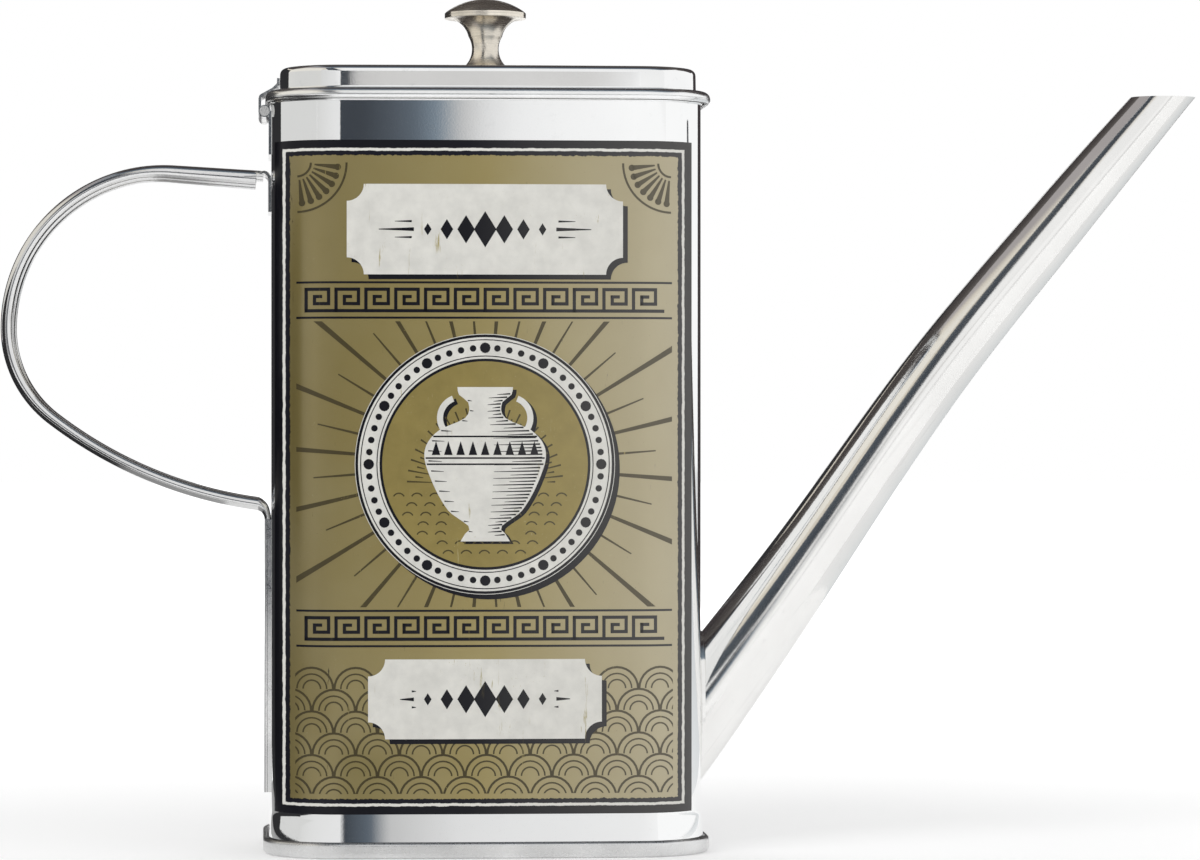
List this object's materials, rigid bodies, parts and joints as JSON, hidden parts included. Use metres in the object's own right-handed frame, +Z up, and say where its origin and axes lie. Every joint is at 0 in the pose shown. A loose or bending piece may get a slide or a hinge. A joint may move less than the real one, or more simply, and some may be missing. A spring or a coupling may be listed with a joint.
{
  "type": "oil tin with spout",
  "caption": "Tall rounded-oblong tinplate oil can with a long taper pouring spout, a hinged lid with a turned knob, a strap handle and a printed front panel.",
  "frame": {"origin": "on the table, under the middle of the body", "axes": "+X towards the spout, +Z up; the printed front faces -Y and the handle is at -X"},
  "size_m": [0.2319, 0.0532, 0.1638],
  "materials": {
    "body_tinplate": "bright rolled tinplate",
    "base_tinplate": "bright rolled tinplate",
    "lid_tinplate": "bright pressed tinplate",
    "knob_metal": "turned, nickel plated, worn warm",
    "screw_steel": "zinc plated",
    "hinge_steel": "folded tinplate",
    "pin_steel": "drawn wire",
    "handle_steel": "brushed tinplate, edges rolled",
    "spout_tinplate": "bright drawn tube, faintly brushed",
    "label_print": "satin print, gold ground with black and cream line work"
  },
  "bodies": {
    "tin": {"body_shell": "body_tinplate", "base_pan": "base_tinplate", "hinge_body_leaf": "hinge_steel", "hinge_pin": "pin_steel", "handle_strap": "handle_steel", "spout_tube": "spout_tinplate", "front_label": "label_print"},
    "lid": {"lid_shell": "lid_tinplate", "knob": "knob_metal", "knob_screw": "screw_steel", "knob_washer": "screw_steel", "hinge_lid_leaf": "hinge_steel"}
  },
  "joints": [
    {"name": "lid_hinge", "type": "hinge", "parent": "tin", "child": "lid", "pos_m": [-0.0423, 0, 0.1413], "axis": [0, -1, 0], "range_deg": [0, 165]}
  ]
}
